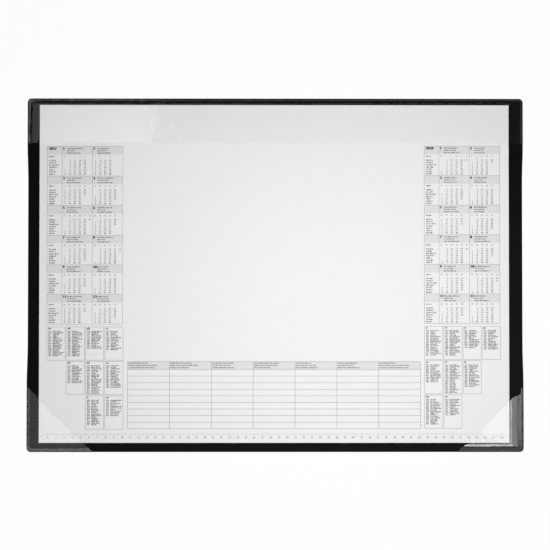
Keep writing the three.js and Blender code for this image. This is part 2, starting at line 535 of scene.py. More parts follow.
INKS: dict[Ink, MottledFinish] = {
    Ink.BOLD: print_ink("ink_bold", 0.02),
    Ink.TEXT: print_ink("ink_text", 0.07),
    Ink.FINE: print_ink("ink_fine", 0.13),
    Ink.TINT: print_ink("ink_tint", 0.69, mottle=0.02),
}


def add_to_scene(name: str, data: bpy.types.ID) -> bpy.types.Object:
    """Makes an object and puts it in the scene.

    Args:
        name: The object's name.
        data: The mesh, text, light or camera that it carries.

    Returns:
        The object.
    """
    carrier = bpy.data.objects.new(name, data)
    bpy.context.scene.collection.objects.link(carrier)
    return carrier


def new_object(
    name: str,
    vertices: Sequence[Sequence[float]],
    faces: Sequence[Sequence[int]],
    materials: Sequence[bpy.types.Material],
    slots: Sequence[int] = (),
) -> bpy.types.Object:
    """Makes a mesh object from points and faces and puts it in the scene.

    Args:
        name: The object's name.
        vertices: The points, in metres.
        faces: Point numbers of each face.
        materials: The object's materials.
        slots: The material number of each face, if they differ.

    Returns:
        The object.
    """
    mesh = bpy.data.meshes.new(name)
    mesh.from_pydata(vertices, [], faces)
    for material in materials:
        mesh.materials.append(material)
    if slots:
        mesh.polygons.foreach_set("material_index", slots)
    mesh.update()
    return add_to_scene(name, mesh)


def new_sheet(
    name: str, size: Point, level: float, finish: bpy.types.Material
) -> bpy.types.Object:
    """Makes a flat rectangle round the middle of its own frame.

    Args:
        name: Its name.
        size: Its width and depth.
        level: The height at which it lies.
        finish: Its material.

    Returns:
        The rectangle.
    """
    wide, deep = size[0] / 2, size[1] / 2
    corners = [(-wide, -deep), (wide, -deep), (wide, deep), (-wide, deep)]
    points = [(x, y, level) for x, y in corners]
    return new_object(name, points, [(0, 1, 2, 3)], [finish])


def dress(node: str, finish: bpy.types.Material) -> None:
    """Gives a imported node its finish.

    Args:
        node: The node's name.
        finish: The material that replaces its own.
    """
    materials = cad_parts[node].data.materials
    materials.clear()
    materials.append(finish)
    LOG.info("%s: dressed with %s", node, finish.name)


@dataclass
class LeafStack:
    """The pad's leaves as single sheets, with their cut edges a hair out of line."""

    node: str = "leaf_block"
    name: str = "leaf_stack"
    count: int = 25
    gap_share: float = 0.12
    edge_scatter: float = 0.16 * MM
    seed: int = 11

    def build(self) -> bpy.types.Object:
        """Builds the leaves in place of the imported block.

        Returns:
            The finished stack.
        """
        box = NodeBox.of(self.node)
        pitch = (box.top - box.bottom) / self.count
        draw = random.Random(self.seed)
        vertices: list[tuple[float, float, float]] = []
        faces: list[tuple[int, ...]] = []
        slots: list[int] = []
        for leaf in range(self.count):
            is_top = leaf == self.count - 1
            top = box.bottom + (leaf + 1) * pitch
            bottom = top - pitch * (1 - self.gap_share)
            inset = [0.0 if is_top else draw.uniform(0, self.edge_scatter) for _ in range(3)]
            left, right, front = box.left + inset[0], box.right - inset[1], box.front + inset[2]
            start = len(vertices)
            for level in (bottom, top):
                corners = ((left, front), (right, front), (right, box.back), (left, box.back))
                vertices += [(x, y, level) for x, y in corners]
            faces += [tuple(start + i for i in face) for face in self.sheet_faces()]
            slots += [0, 0, 1, 1, 1, 1]
        finishes = [WRITING_PAPER.material(), cut_edges(pitch).material()]
        stack = new_object(self.name, vertices, faces, finishes, slots)
        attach(stack, BODY)
        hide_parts(self.node)
        LOG.info("%s: %d leaves", self.name, self.count)
        return stack

    @staticmethod
    def sheet_faces() -> list[tuple[int, int, int, int]]:
        """The faces of one leaf: its under side, its upper side and its four edges."""
        sides = [(i, (i + 1) % 4, (i + 1) % 4 + 4, i + 4) for i in range(4)]
        return [(3, 2, 1, 0), (4, 5, 6, 7), *sides]


@dataclass(frozen=True)
class Glyph:
    """One numeral as flat faces, with its height scaled to 1 and its left edge at 0."""

    points: list[Point]
    faces: list[tuple[int, ...]]
    width: float


class Numerals:
    """The ten numerals of a plain typeface, ready to print at any size."""

    GAP = 0.12

    def __init__(self, strikes: tuple[float, ...]) -> None:
        """Traces the numerals.

        Args:
            strikes: Sideways shifts at which each is printed, as shares of its height. More
                strikes make a bolder numeral.
        """
        self.strikes = strikes
        self.glyphs = {digit: self.trace(digit) for digit in "0123456789"}
        self.cell = max(glyph.width for glyph in self.glyphs.values()) + self.GAP

    def trace(self, digit: str) -> Glyph:
        """Turns one numeral of the built-in typeface into flat faces.

        Args:
            digit: The numeral.

        Returns:
            Its shape.
        """
        curve = bpy.data.curves.new("numeral", "FONT")
        curve.body = digit
        curve.resolution_u = 3
        carrier = add_to_scene("numeral", curve)
        graph = bpy.context.evaluated_depsgraph_get()
        evaluated = carrier.evaluated_get(graph)
        mesh = evaluated.to_mesh()
        left = min(vertex.co.x for vertex in mesh.vertices)
        low = min(vertex.co.y for vertex in mesh.vertices)
        scale = 1 / (max(vertex.co.y for vertex in mesh.vertices) - low)
        points = [((v.co.x - left) * scale, (v.co.y - low) * scale) for v in mesh.vertices]
        faces = [tuple(face.vertices) for face in mesh.polygons]
        evaluated.to_mesh_clear()
        bpy.data.objects.remove(carrier)
        bpy.data.curves.remove(curve)
        return Glyph(points, faces, max(x for x, _ in points))


@dataclass(frozen=True)
class Typefaces:
    """The weights of numerals that the leaf is printed in."""

    plain: Numerals
    bold: Numerals
    heading: Numerals


class Align(Enum):
    """Which point of a printed number its position names."""

    LEFT = 0.0
    CENTRE = 0.5
    RIGHT = 1.0


class PrintedBlock:
    """One block of the leaf's print, built up as flat shapes of ink.

    Positions are in millimetres on the leaf: x from its left edge, y from its head. The sizes
    of the stand-in letters are shares of their line's height.
    """

    INK_LIFT = 0.03 * MM
    WORD_LETTERS = (3, 9)
    LETTER_WIDTH = (0.32, 0.5)
    LETTER_GAP = 0.14
    WORD_GAP = 0.55
    LEAST_ROOM = 0.3
    TALL_SHARE = 0.35
    TALL_RISE = 0.5
    SMALL_RISE = 0.2
    TAIL_SHARE = 0.12
    TAIL_DROP = 0.75
    FOOT_DROP = 0.5

    def __init__(self, name: str, leaf: NodeBox, head: float, seed: int) -> None:
        """Starts an empty block.

        Args:
            name: The name of the piece.
            leaf: The box of the leaves.
            head: The y of the pad's head edge, in metres.
            seed: Seeds the lengths of the greeked words.
        """
        self.name = name
        self.leaf = leaf
        self.head = head
        self.draw = random.Random(seed)
        self.vertices: list[tuple[float, float, float]] = []
        self.faces: list[tuple[int, ...]] = []
        self.slots: list[int] = []

    def shape(self, points: Sequence[Point], faces: Sequence[Sequence[int]], ink: Ink) -> None:
        """Adds flat faces.

        Args:
            points: The points, in millimetres on the leaf.
            faces: Point numbers of each face.
            ink: The ink they are printed in.
        """
        start = len(self.vertices)
        level = self.leaf.top + self.INK_LIFT * (1 + (ink is not Ink.TINT))
        for x, y in points:
            self.vertices.append((self.leaf.left + x * MM, self.head - y * MM, level))
        for face in faces:
            self.faces.append(tuple(start + number for number in face))
            self.slots.append(int(ink))

    def bar(self, left: float, top: float, right: float, bottom: float, ink: Ink) -> None:
        """Adds a filled rectangle.

        Args:
            left: Its left side.
            top: Its top.
            right: Its right side.
            bottom: Its bottom.
            ink: The ink.
        """
        corners = [(left, bottom), (right, bottom), (right, top), (left, top)]
        self.shape(corners, [(0, 1, 2, 3)], ink)

    def line_across(self, y: float, left: float, right: float, weight: float, ink: Ink) -> None:
        """Adds a level rule.

        Args:
            y: The middle of its weight.
            left: Where it starts.
            right: Where it ends.
            weight: How thick it is.
            ink: The ink.
        """
        self.bar(left, y - weight / 2, right, y + weight / 2, ink)

    def line_down(self, x: float, top: float, bottom: float, weight: float, ink: Ink) -> None:
        """Adds an upright rule.

        Args:
            x: The middle of its weight.
            top: Where it starts.
            bottom: Where it ends.
            weight: How thick it is.
            ink: The ink.
        """
        self.bar(x - weight / 2, top, x + weight / 2, bottom, ink)

    def number(
        self,
        value: int,
        x: float,
        y: float,
        height: float,
        numerals: Numerals,
        ink: Ink,
        align: Align = Align.CENTRE,
    ) -> None:
        """Adds a number, centred on y.

        Args:
            value: The number.
            x: Where it stands, by the align setting.
            y: The middle of its height.
            height: The height of its numerals.
            numerals: The typeface.
            ink: The ink.
            align: Which point of the number x is.
        """
        text = str(value)
        cell = numerals.cell * height
        start = x - align.value * cell * len(text)
        for place, digit in enumerate(text):
            glyph = numerals.glyphs[digit]
            left = start + place * cell + (cell - glyph.width * height) / 2
            for strike in numerals.strikes:
                start_x, base = left + strike * height, y + height / 2
                points = [(start_x + px * height, base - py * height) for px, py in glyph.points]
                self.shape(points, glyph.faces, ink)

    def greeked(self, left: float, right: float, y: float, height: float, ink: Ink) -> None:
        """Adds a line of stand-in text: words of small upright blocks, some of them tall.

        Args:
            left: Where the line starts.
            right: Where it ends.
            y: The middle of its height.
            height: The height of its tall letters.
            ink: The ink.
        """
        x = left
        letters = self.draw.randint(*self.WORD_LETTERS)
        while x < right - height * self.LEAST_ROOM:
            width = self.draw.uniform(*self.LETTER_WIDTH) * height
            rise = self.TALL_RISE if self.draw.random() < self.TALL_SHARE else self.SMALL_RISE
            drop = self.FOOT_DROP if self.draw.random() > self.TAIL_SHARE else self.TAIL_DROP
            self.bar(x, y - rise * height, x + width, y + drop * height, ink)
            letters -= 1
            x += width + height * (self.LETTER_GAP if letters else self.WORD_GAP)
            letters = letters or self.draw.randint(*self.WORD_LETTERS)

    def build(self, materials: Sequence[bpy.types.Material]) -> bpy.types.Object:
        """Makes the piece.

        Args:
            materials: One material for each ink.

        Returns:
            The printed block as a flat mesh on the leaf.
        """
        piece = new_object(self.name, self.vertices, self.faces, materials, self.slots)
        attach(piece, BODY)
        LOG.info("%s: %d faces", self.name, len(self.faces))
        return piece


@dataclass(frozen=True)
class YearTable:
    """A year as six rows of two months, with week numbers over columns of days.

    Each heading line is given by its place, its greatest length and its height.
    """

    year: int
    left: float
    top: float = 50.65
    label_width: float = 18.0
    month_width: float = 36.85
    row_height: float = 35.97
    rows: int = 6
    header_height: float = 10.0
    week_line: float = 12.3
    day_line: float = 17.05
    day_pitch: float = 2.757
    column_start: float = 2.9
    column_pitch: float = 6.15
    digit: float = 1.75
    week_digit: float = 1.5
    heading_digit: float = 3.0
    heading_line: float = 2.6
    year_inset: float = 1.9
    month_inset: float = 0.9
    words_inset: float = 6.0
    label_inset: float = 2.1
    label_height: float = 1.6
    rule: float = 0.28

    WEEK_WORD = 6.3
    WEEKDAY_WORDS = (8.3, 8.3, 12.3, 9.0, 6.5, 8.0, 7.3)
    HEADING_LINES = ((2.4, 20, 1.5), (5.1, 15, 1.3), (7.9, 20, 1.5))
    SHORTEST_LINE = 0.65

    def draw_on(self, block: PrintedBlock, faces: Typefaces) -> None:
        """Prints the table.

        Args:
            block: The block that takes the ink.
            faces: The numerals.
        """
        right = self.left + self.label_width + 2 * self.month_width
        bottom = self.top + self.rows * self.row_height
        block.bar(self.left, self.top, right, self.top + self.header_height, Ink.TINT)
        dividers = [self.left + self.label_width + k * self.month_width for k in range(2)]
        for x in (self.left, *dividers, right):
            block.line_down(x, self.top, bottom, self.rule, Ink.FINE)
        for row in range(self.rows + 1):
            y = self.top + row * self.row_height
            block.line_across(y, self.left, right, self.rule, Ink.FINE)
        self.draw_heading(block, self.year, self.left + self.year_inset, self.top, faces)
        for row in range(self.rows):
            y = self.top + row * self.row_height
            if row:
                block.bar(self.left, y, right, y + self.header_height, Ink.TINT)
            self.draw_labels(block, y)
            for column, divider in enumerate(dividers):
                month = 2 * row + column + 1
                self.draw_heading(block, month, divider + self.month_inset, y, faces)
                self.draw_month(block, month, divider, y, faces)

    def draw_heading(
        self, block: PrintedBlock, value: int, x: float, y: float, faces: Typefaces
    ) -> None:
        """Prints the number at the head of the table or of a month.

        Args:
            block: The block that takes the ink.
            value: The year or the month.
            x: Where the number starts.
            y: The top of the row of months.
            faces: The numerals.
        """
        line = y + self.heading_line
        block.number(value, x, line, self.heading_digit, faces.heading, Ink.BOLD, Align.LEFT)

    def draw_labels(self, block: PrintedBlock, y: float) -> None:
        """Prints the stand-ins for the word over the week numbers and for the weekdays.

        Args:
            block: The block that takes the ink.
            y: The top of the row of months.
        """
        x = self.left + self.label_inset
        block.greeked(x, x + self.WEEK_WORD, y + self.week_line, self.week_digit, Ink.FINE)
        for day, width in enumerate(self.WEEKDAY_WORDS):
            line = y + self.day_line + day * self.day_pitch
            ink = Ink.TEXT if day == calendar.SUNDAY else Ink.FINE
            block.greeked(x, x + width, line, self.label_height, ink)

    def draw_month(
        self, block: PrintedBlock, month: int, divider: float, y: float, faces: Typefaces
    ) -> None:
        """Prints one month under its number.

        Args:
            block: The block that takes the ink.
            month: The month, from 1.
            divider: The left side of the month's column.
            y: The top of the row of months.
            faces: The numerals.
        """
        words = divider + self.words_inset
        for offset, length, height in self.HEADING_LINES:
            end = words + block.draw.uniform(self.SHORTEST_LINE, 1.0) * length
            block.greeked(words, end, y + offset, height, Ink.FINE)
        first, days = calendar.monthrange(self.year, month)
        for column in range((first + days + 6) // 7):
            x = divider + self.column_start + column * self.column_pitch
            day = max(1, column * 7 - first + 1)
            week = datetime.date(self.year, month, day).isocalendar().week
            block.number(week, x, y + self.week_line, self.week_digit, faces.plain, Ink.TEXT)
        edge = self.digit * faces.plain.cell
        for day in range(1, days + 1):
            column, weekday = divmod(first + day - 1, 7)
            x = divider + self.column_start + column * self.column_pitch + edge
            line = y + self.day_line + weekday * self.day_pitch
            is_sunday = weekday == calendar.SUNDAY
            numerals = faces.bold if is_sunday else faces.plain
            block.number(day, x, line, self.digit, numerals, Ink.TEXT, Align.RIGHT)


@dataclass(frozen=True)
class NoteBoxes:
    """Three rows of framed boxes with lists of dates, some boxes left out at one side.

    A place or an end along a line is measured from its box's left side.
    """

    left: float
    skipped: tuple[int, int, int]
    skip_from_right: bool
    top: float = 269.8
    width: float = 22.0
    pitch: float = 23.4
    height: float = 40.3
    row_pitch: float = 41.7
    line_pitch: float = 1.85
    first_line: float = 5.2
    heading_inset: float = 1.6
    heading_line: float = 1.8
    heading_height: float = 2.1
    date_inset: float = 1.8
    date_end: float = 5.4
    date_height: float = 1.25
    words_inset: float = 7.0
    words_height: float = 1.35
    rule: float = 0.3

    COLUMNS = 4
    LINE_COUNTS = (17, 17, 12, 13, 12, 19, 15, 17, 11)
    HEADING_LENGTH = (2.2, 4.0)
    WORDS_END = (13.0, 20.5)

    def draw_on(self, block: PrintedBlock) -> None:
        """Prints the boxes.

        Args:
            block: The block that takes the ink.
        """
        counts = iter(self.LINE_COUNTS)
        for row, skipped in enumerate(self.skipped):
            start = 0 if self.skip_from_right else skipped
            for column in range(start, start + self.COLUMNS - skipped):
                x = self.left + column * self.pitch
                y = self.top + row * self.row_pitch
                self.draw_box(block, x, y, next(counts))

    def draw_box(self, block: PrintedBlock, x: float, y: float, lines: int) -> None:
        """Prints one box and its list.

        Args:
            block: The block that takes the ink.
            x: The box's left side.
            y: Its top.
            lines: How many lines the list has.
        """
        for side in (x, x + self.width):
            block.line_down(side, y, y + self.height, self.rule, Ink.FINE)
        for level in (y, y + self.height):
            block.line_across(level, x, x + self.width, self.rule, Ink.FINE)
        start = x + self.heading_inset
        end = start + block.draw.uniform(*self.HEADING_LENGTH)
        block.greeked(start, end, y + self.heading_line, self.heading_height, Ink.BOLD)
        for line in range(lines):
            level = y + self.first_line + line * self.line_pitch
            start, end = x + self.date_inset, x + self.date_end
            block.greeked(start, end, level, self.date_height, Ink.TEXT)
            end = x + block.draw.uniform(*self.WORDS_END)
            block.greeked(x + self.words_inset, end, level, self.words_height, Ink.TEXT)


@dataclass(frozen=True)
class WeekPlanner:
    """A ruled week: seven headed columns over nine empty rows.

    Each heading line is given by its place and its height.
    """

    left: float = 107.29
    column_width: float = 50.72
    columns: int = 7
    top: float = 311.8
    header_bottom: float = 321.3
    row_height: float = 7.97
    rows: int = 9
    heading_inset: float = 1.2
    rule: float = 0.32

    HEADING_LINES = ((1.6, 1.4), (4.3, 1.3), (7.2, 1.4))
    HEADING_LENGTH = (19, 36)

    def draw_on(self, block: PrintedBlock) -> None:
        """Prints the planner.

        Args:
            block: The block that takes the ink.
        """
        right = self.left + self.columns * self.column_width
        bottom = self.header_bottom + self.rows * self.row_height
        block.bar(self.left, self.top, right, self.header_bottom, Ink.TINT)
        for column in range(self.columns + 1):
            x = self.left + column * self.column_width
            block.line_down(x, self.top, bottom, self.rule, Ink.FINE)
            if column < self.columns:
                self.draw_heading(block, x + self.heading_inset)
        block.line_across(self.top, self.left, right, self.rule, Ink.FINE)
        for row in range(self.rows + 1):
            y = self.header_bottom + row * self.row_height
            block.line_across(y, self.left, right, self.rule, Ink.FINE)

    def draw_heading(self, block: PrintedBlock, x: float) -> None:
        """Prints the stand-ins for one column's three heading lines.

        Args:
            block: The block that takes the ink.
            x: Where the lines start.
        """
        for offset, height in self.HEADING_LINES:
            end = x + block.draw.uniform(*self.HEADING_LENGTH)
            block.greeked(x, end, self.top + offset, height, Ink.FINE)


@dataclass(frozen=True)
class EdgeRuler:
    """The scale in centimetres and millimetres along the leaf's front edge."""

    start: float = 0.8
    first_tick: int = 5
    length: int = 565
    tick_top: float = 399.0
    millimetre_tick: float = 0.9
    half_tick: float = 1.7
    centimetre_tick: float = 2.3
    number_line: float = 403.4
    digit: float = 2.05
    rule: float = 0.19

    def draw_on(self, block: PrintedBlock, numerals: Numerals) -> None:
        """Prints the scale.

        Args:
            block: The block that takes the ink.
            numerals: The numerals of the centimetres.
        """
        for step in range(self.first_tick, self.length + 1):
            x = self.start + step
            reach = self.millimetre_tick if step % 5 else self.half_tick
            if step % 10 == 0:
                reach = self.centimetre_tick
                block.number(step // 10, x, self.number_line, self.digit, numerals, Ink.FINE)
            block.line_down(x, self.tick_top, self.tick_top + reach, self.rule, Ink.FINE)


@dataclass
class LeafPrint:
    """Everything that is printed on the top leaf."""

    left_year: YearTable = YearTable(2027, 9.3)
    right_year: YearTable = YearTable(2028, 467.2, top=49.75)
    left_notes: NoteBoxes = NoteBoxes(9.5, (0, 1, 2), skip_from_right=False)
    right_notes: NoteBoxes = NoteBoxes(467.3, (0, 1, 2), skip_from_right=True, top=268.8)
    planner: WeekPlanner = WeekPlanner()
    ruler: EdgeRuler = EdgeRuler()
    plain_strikes: tuple[float, ...] = (-0.03, 0.03)
    bold_strikes: tuple[float, ...] = (-0.08, 0.0, 0.08)
    heading_strikes: tuple[float, ...] = (-0.12, -0.04, 0.04, 0.12)

    BLOCKS = (
        "year_table_left",
        "year_table_right",
        "notes_left",
        "notes_right",
        "week_planner",
        "edge_ruler",
    )

    def build(self) -> list[bpy.types.Object]:
        """Prints the leaf.

        Returns:
            The printed blocks.
        """
        leaf = NodeBox.of("leaf_block")
        head = NodeBox.of("glue_binding").back
        weights = (self.plain_strikes, self.bold_strikes, self.heading_strikes)
        faces = Typefaces(*(Numerals(strikes) for strikes in weights))
        materials = [INKS[ink].material() for ink in Ink]
        blocks = [PrintedBlock(name, leaf, head, seed) for seed, name in enumerate(self.BLOCKS)]
        left_year, right_year, left_notes, right_notes, planner, ruler = blocks
        self.left_year.draw_on(left_year, faces)
        self.right_year.draw_on(right_year, faces)
        self.left_notes.draw_on(left_notes)
        self.right_notes.draw_on(right_notes)
        self.planner.draw_on(planner)
        self.ruler.draw_on(ruler, faces.plain)
        return [block.build(materials) for block in blocks]


@dataclass(frozen=True)
class DrapeSection:
    """How a film lies in section: flat on the mat's rim, then up a ramp to the pad's top.

    A place on the film is given by its flat length from the mat's edge, as it was cut.
    """

    border: float
    rise: float
    weld_inner: float = 3.5 * MM
    clearance: float = 0.3 * MM
    sag: float = 0.62
    steps: int = 18
    flats: list[float] = field(default_factory=list)
    plans: list[float] = field(default_factory=list)
    heights: list[float] = field(default_factory=list)

    def __post_init__(self) -> None:
        """Measures the ramp's stations along the film."""
        run = self.border - self.weld_inner - self.clearance
        self.add_station(0.0, 0.0)
        self.add_station(self.weld_inner, 0.0)
        for step in range(1, self.steps + 1):
            t = step / self.steps
            share = 2 * self.sag * t * (1 - t) + t * t
            self.add_station(self.weld_inner + share * run, t * t * self.rise)

    @property
    def surplus(self) -> float:
        """The length that the film spends on its climb, beyond its length in plan."""
        return self.flats[-1] - self.plans[-1]

    def add_station(self, plan: float, height: float) -> None:
        """Adds one point of the section and the flat length up to it.

        Args:
            plan: Its plan distance from the mat's edge.
            height: Its height over the mat.
        """
        flat = plan
        if self.plans:
            step = math.hypot(plan - self.plans[-1], height - self.heights[-1])
            flat = self.flats[-1] + step
        self.flats.append(flat)
        self.plans.append(plan)
        self.heights.append(height)

    def place(self, flat: float) -> tuple[float, float]:
        """Finds a point of the film.

        Args:
            flat: Its flat length from the mat's edge.

        Returns:
            Its plan distance from the mat's edge and its height over the mat.
        """
        if flat >= self.flats[-1]:
            return self.plans[-1] + flat - self.flats[-1], self.heights[-1]
        low = max(bisect_right(self.flats, flat) - 1, 0)
        share = (flat - self.flats[low]) / (self.flats[low + 1] - self.flats[low])
        plan = self.plans[low] + share * (self.plans[low + 1] - self.plans[low])
        height = self.heights[low] + share * (self.heights[low + 1] - self.heights[low])
        return plan, height


@dataclass(frozen=True)
class FilmEdge:
    """The welded rim that all three films share."""

    bare: float = 1.2 * MM
    seam_outer: float = 1.95 * MM
    seam_inner: float = 2.75 * MM
    seam_depth: float = 0.1 * MM
    corner_radius: float = 5.0 * MM
    thickness: float = 0.3 * MM
    seam_wall: float = 0.04 * MM
    landing_step: float = 0.4 * MM
    landing_growth: float = 1.8
    landing_lines: int = 6

    def lines(self, section: DrapeSection, end: float, pitch: float) -> list[float]:
        """The grid lines of a film across one side, as flat lengths from the mat's edge.

        Args:
            section: The film's section at that side.
            end: The flat length of the last line.
            pitch: The greatest gap between lines on the pad.

        Returns:
            The lines, from the film's outer edge inwards.
        """
        outer, inner, wall = self.seam_outer, self.seam_inner, self.seam_wall
        seam = [outer, outer + wall, inner - wall, inner]
        start, step = section.flats[-1], self.landing_step
        landing = [start + step * self.landing_growth**k for k in range(self.landing_lines)]
        last = landing[-1]
        count = max(1, math.ceil((end - last) / pitch))
        field_lines = [last + (end - last) * k / count for k in range(1, count + 1)]
        return [self.bare, *seam, *section.flats[1:], *landing, *field_lines]

    def is_seam(self, flat: float) -> bool:
        """Tells whether a place lies in the pressed seam.

        Args:
            flat: Its flat length from the mat's edge.

        Returns:
            True in the seam.
        """
        return self.seam_outer < flat < self.seam_inner

    def rounded(self, across: float, along: float) -> Point:
        """Bends the rim round the mat's corner.

        Args:
            across: Plan distance from one side of the mat.
            along: Plan distance from the other side.

        Returns:
            Both distances once the corner is rounded.
        """
        radius, ring, other = self.corner_radius, min(across, along), max(across, along)
        if other >= radius:
            return across, along
        angle = math.pi / 4 * (1 - (other - ring) / (radius - ring)) if radius > ring else 0.0
        near = radius - (radius - ring) * math.cos(angle)
        far = radius - (radius - ring) * math.sin(angle)
        return (near, far) if across <= along else (far, near)


def soft_lower(first: float, second: float, blend: float) -> float:
    """The lower of two heights, with the crease between them rounded.

    Args:
        first: One height.
        second: The other height.
        blend: How far apart they are where the rounding ends.

    Returns:
        The height.
    """
    share = max(blend - abs(first - second), 0.0) / blend
    return min(first, second) - share * share * blend / 4


@dataclass
class FilmFinishes:
    """The materials of the films: the clear sheet, its welded seam and its cut edge."""

    clear: bpy.types.Material
    welded: bpy.types.Material
    cut: bpy.types.Material


@dataclass
class FilmPiece:
    """A clear film that is cut flat and then bent over the pad."""

    name: str
    node: str
    mat: NodeBox
    pad: NodeBox
    finishes: FilmFinishes
    edge: FilmEdge = FilmEdge()
    crease: float = 0.5 * MM
    pitch: float = 5 * MM
    edge_lift: float = 0.03 * MM
    lift_reach: float = 6 * MM

    def section(self, border: float) -> DrapeSection:
        """Works out how the film lies over one border.

        Args:
            border: The border's width.

        Returns:
            The film's section there.
        """
        return DrapeSection(border, self.pad.top - self.mat.top + DrapeSection.clearance)

    def fill(
        self,
        grid: bmesh.types.BMesh,
        rows: Sequence[Sequence[bmesh.types.BMVert]],
        across: Sequence[float],
        along: Sequence[float],
        is_turned: bool,
    ) -> None:
        """Fills a net of points with faces and gives those in the seam the welded finish.

        Args:
            grid: The film's under skin.
            rows: The points, row by row.
            across: The flat length of each column from the mat's side.
            along: The flat length of each row from the mat's front or back.
            is_turned: Whether the net runs clockwise as seen from above.
        """
        for j in range(len(along) - 1):
            for i in range(len(across) - 1):
                corners = (rows[j][i], rows[j][i + 1], rows[j + 1][i + 1], rows[j + 1][i])
                face = grid.faces.new(corners[::-1] if is_turned else corners)
                nearest = min(across[i] + across[i + 1], along[j] + along[j + 1]) / 2
                face.material_index = int(self.edge.is_seam(nearest))

    def solid(self, grid: bmesh.types.BMesh) -> bpy.types.Object:
        """Gives the film's under skin its thickness and crisp cut edges.

        Args:
            grid: The film's under skin, in place.

        Returns:
            The finished piece.
        """
        for edge in grid.edges:
            edge.smooth = not edge.is_boundary
        mesh = bpy.data.meshes.new(self.name)
        grid.to_mesh(mesh)
        grid.free()
        for finish in (self.finishes.clear, self.finishes.welded, self.finishes.cut):
            mesh.materials.append(finish)
        mesh.polygons.foreach_set("use_smooth", [True] * len(mesh.polygons))
        piece = add_to_scene(self.name, mesh)
        thick = piece.modifiers.new("thickness", "SOLIDIFY")
        thick.thickness = self.edge.thickness
        thick.offset = 1.0
        thick.material_offset_rim = len(mesh.materials) - 1
        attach(piece, BODY)
        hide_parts(self.node)
        LOG.info("%s: %d faces in its skin", self.name, len(mesh.polygons))
        return piece


@dataclass
class CornerPocket(FilmPiece):
    """A pocket over one front corner, cut straight across at 45 degrees in the flat."""

    side: float = 1.0
    leg: float = 81.5 * MM
    bow: float = 0.0
    bow_reach: float = 24 * MM
    bow_rise: float = 0.9 * MM
    bow_end: float = 15 * MM
    bow_fade: float = 1.2
    edge_lines: tuple[float, ...] = (1 * MM, 2.5 * MM, 5 * MM, 9 * MM, 14 * MM, 20 * MM)

    def build(self) -> bpy.types.Object:
        """Builds the pocket.

        Returns:
            The finished piece.
        """
        mat, pad = self.mat, self.pad
        border = pad.left - mat.left if self.side > 0 else mat.right - pad.right
        beside, before = self.section(border), self.section(pad.front - mat.front)
        across = self.edge.lines(beside, self.leg, self.pitch)
        along = self.edge.lines(before, self.leg, self.pitch)
        grid = bmesh.new()
        rows = [[grid.verts.new((u, v, 0)) for u in across] for v in along]
        self.fill(grid, rows, across, along, is_turned=self.side < 0)
        cut = Vector((1, 1, 0)).normalized()
        for inset in (0.0, *self.edge_lines):
            everything = [*grid.verts, *grid.edges, *grid.faces]
            place = (self.leg - inset, 0, 0)
            bmesh.ops.bisect_plane(
                grid, geom=everything, plane_co=place, plane_no=cut, clear_outer=inset == 0.0
            )
        for vertex in grid.verts:
            vertex.co = self.bent(vertex.co.x, vertex.co.y, beside, before)
        return self.solid(grid)

    def bent(
        self, across: float, along: float, beside: DrapeSection, before: DrapeSection
    ) -> Vector:
        """Bends one point of the flat film over the pad's corner.

        Args:
            across: Its flat length from the mat's side.
            along: Its flat length from the mat's front.
            beside: The film's section over the side border.
            before: The film's section over the front border.

        Returns:
            The point in place.
        """
        to_free_edge = max(self.leg - across - along, 0.0)
        along -= self.pulled(across) * max(1 - to_free_edge / self.bow_reach, 0.0)
        x, side_height = beside.place(across)
        y, front_height = before.place(along)
        height = soft_lower(side_height, front_height, self.crease)
        climbed = height / beside.heights[-1]
        height += self.edge_lift * climbed * math.exp(-to_free_edge / self.lift_reach)
        if self.edge.is_seam(min(across, along)):
            height -= self.edge.seam_depth
        x, y = self.edge.rounded(x, y)
        start = self.mat.left if self.side > 0 else self.mat.right
        return Vector((start + self.side * x, self.mat.front + y, self.mat.top + max(height, 0.0)))

    def pulled(self, across: float) -> float:
        """Works out the forward pull of the free edge on the border, greatest near the seam.

        Args:
            across: The flat length from the mat's side.

        Returns:
            How far the edge is pulled.
        """
        inner = self.edge.seam_inner
        if not inner < across < self.bow_end:
            return 0.0
        rise = min((across - inner) / self.bow_rise, 1.0)
        return self.bow * rise * (1 - (across - inner) / (self.bow_end - inner)) ** self.bow_fade


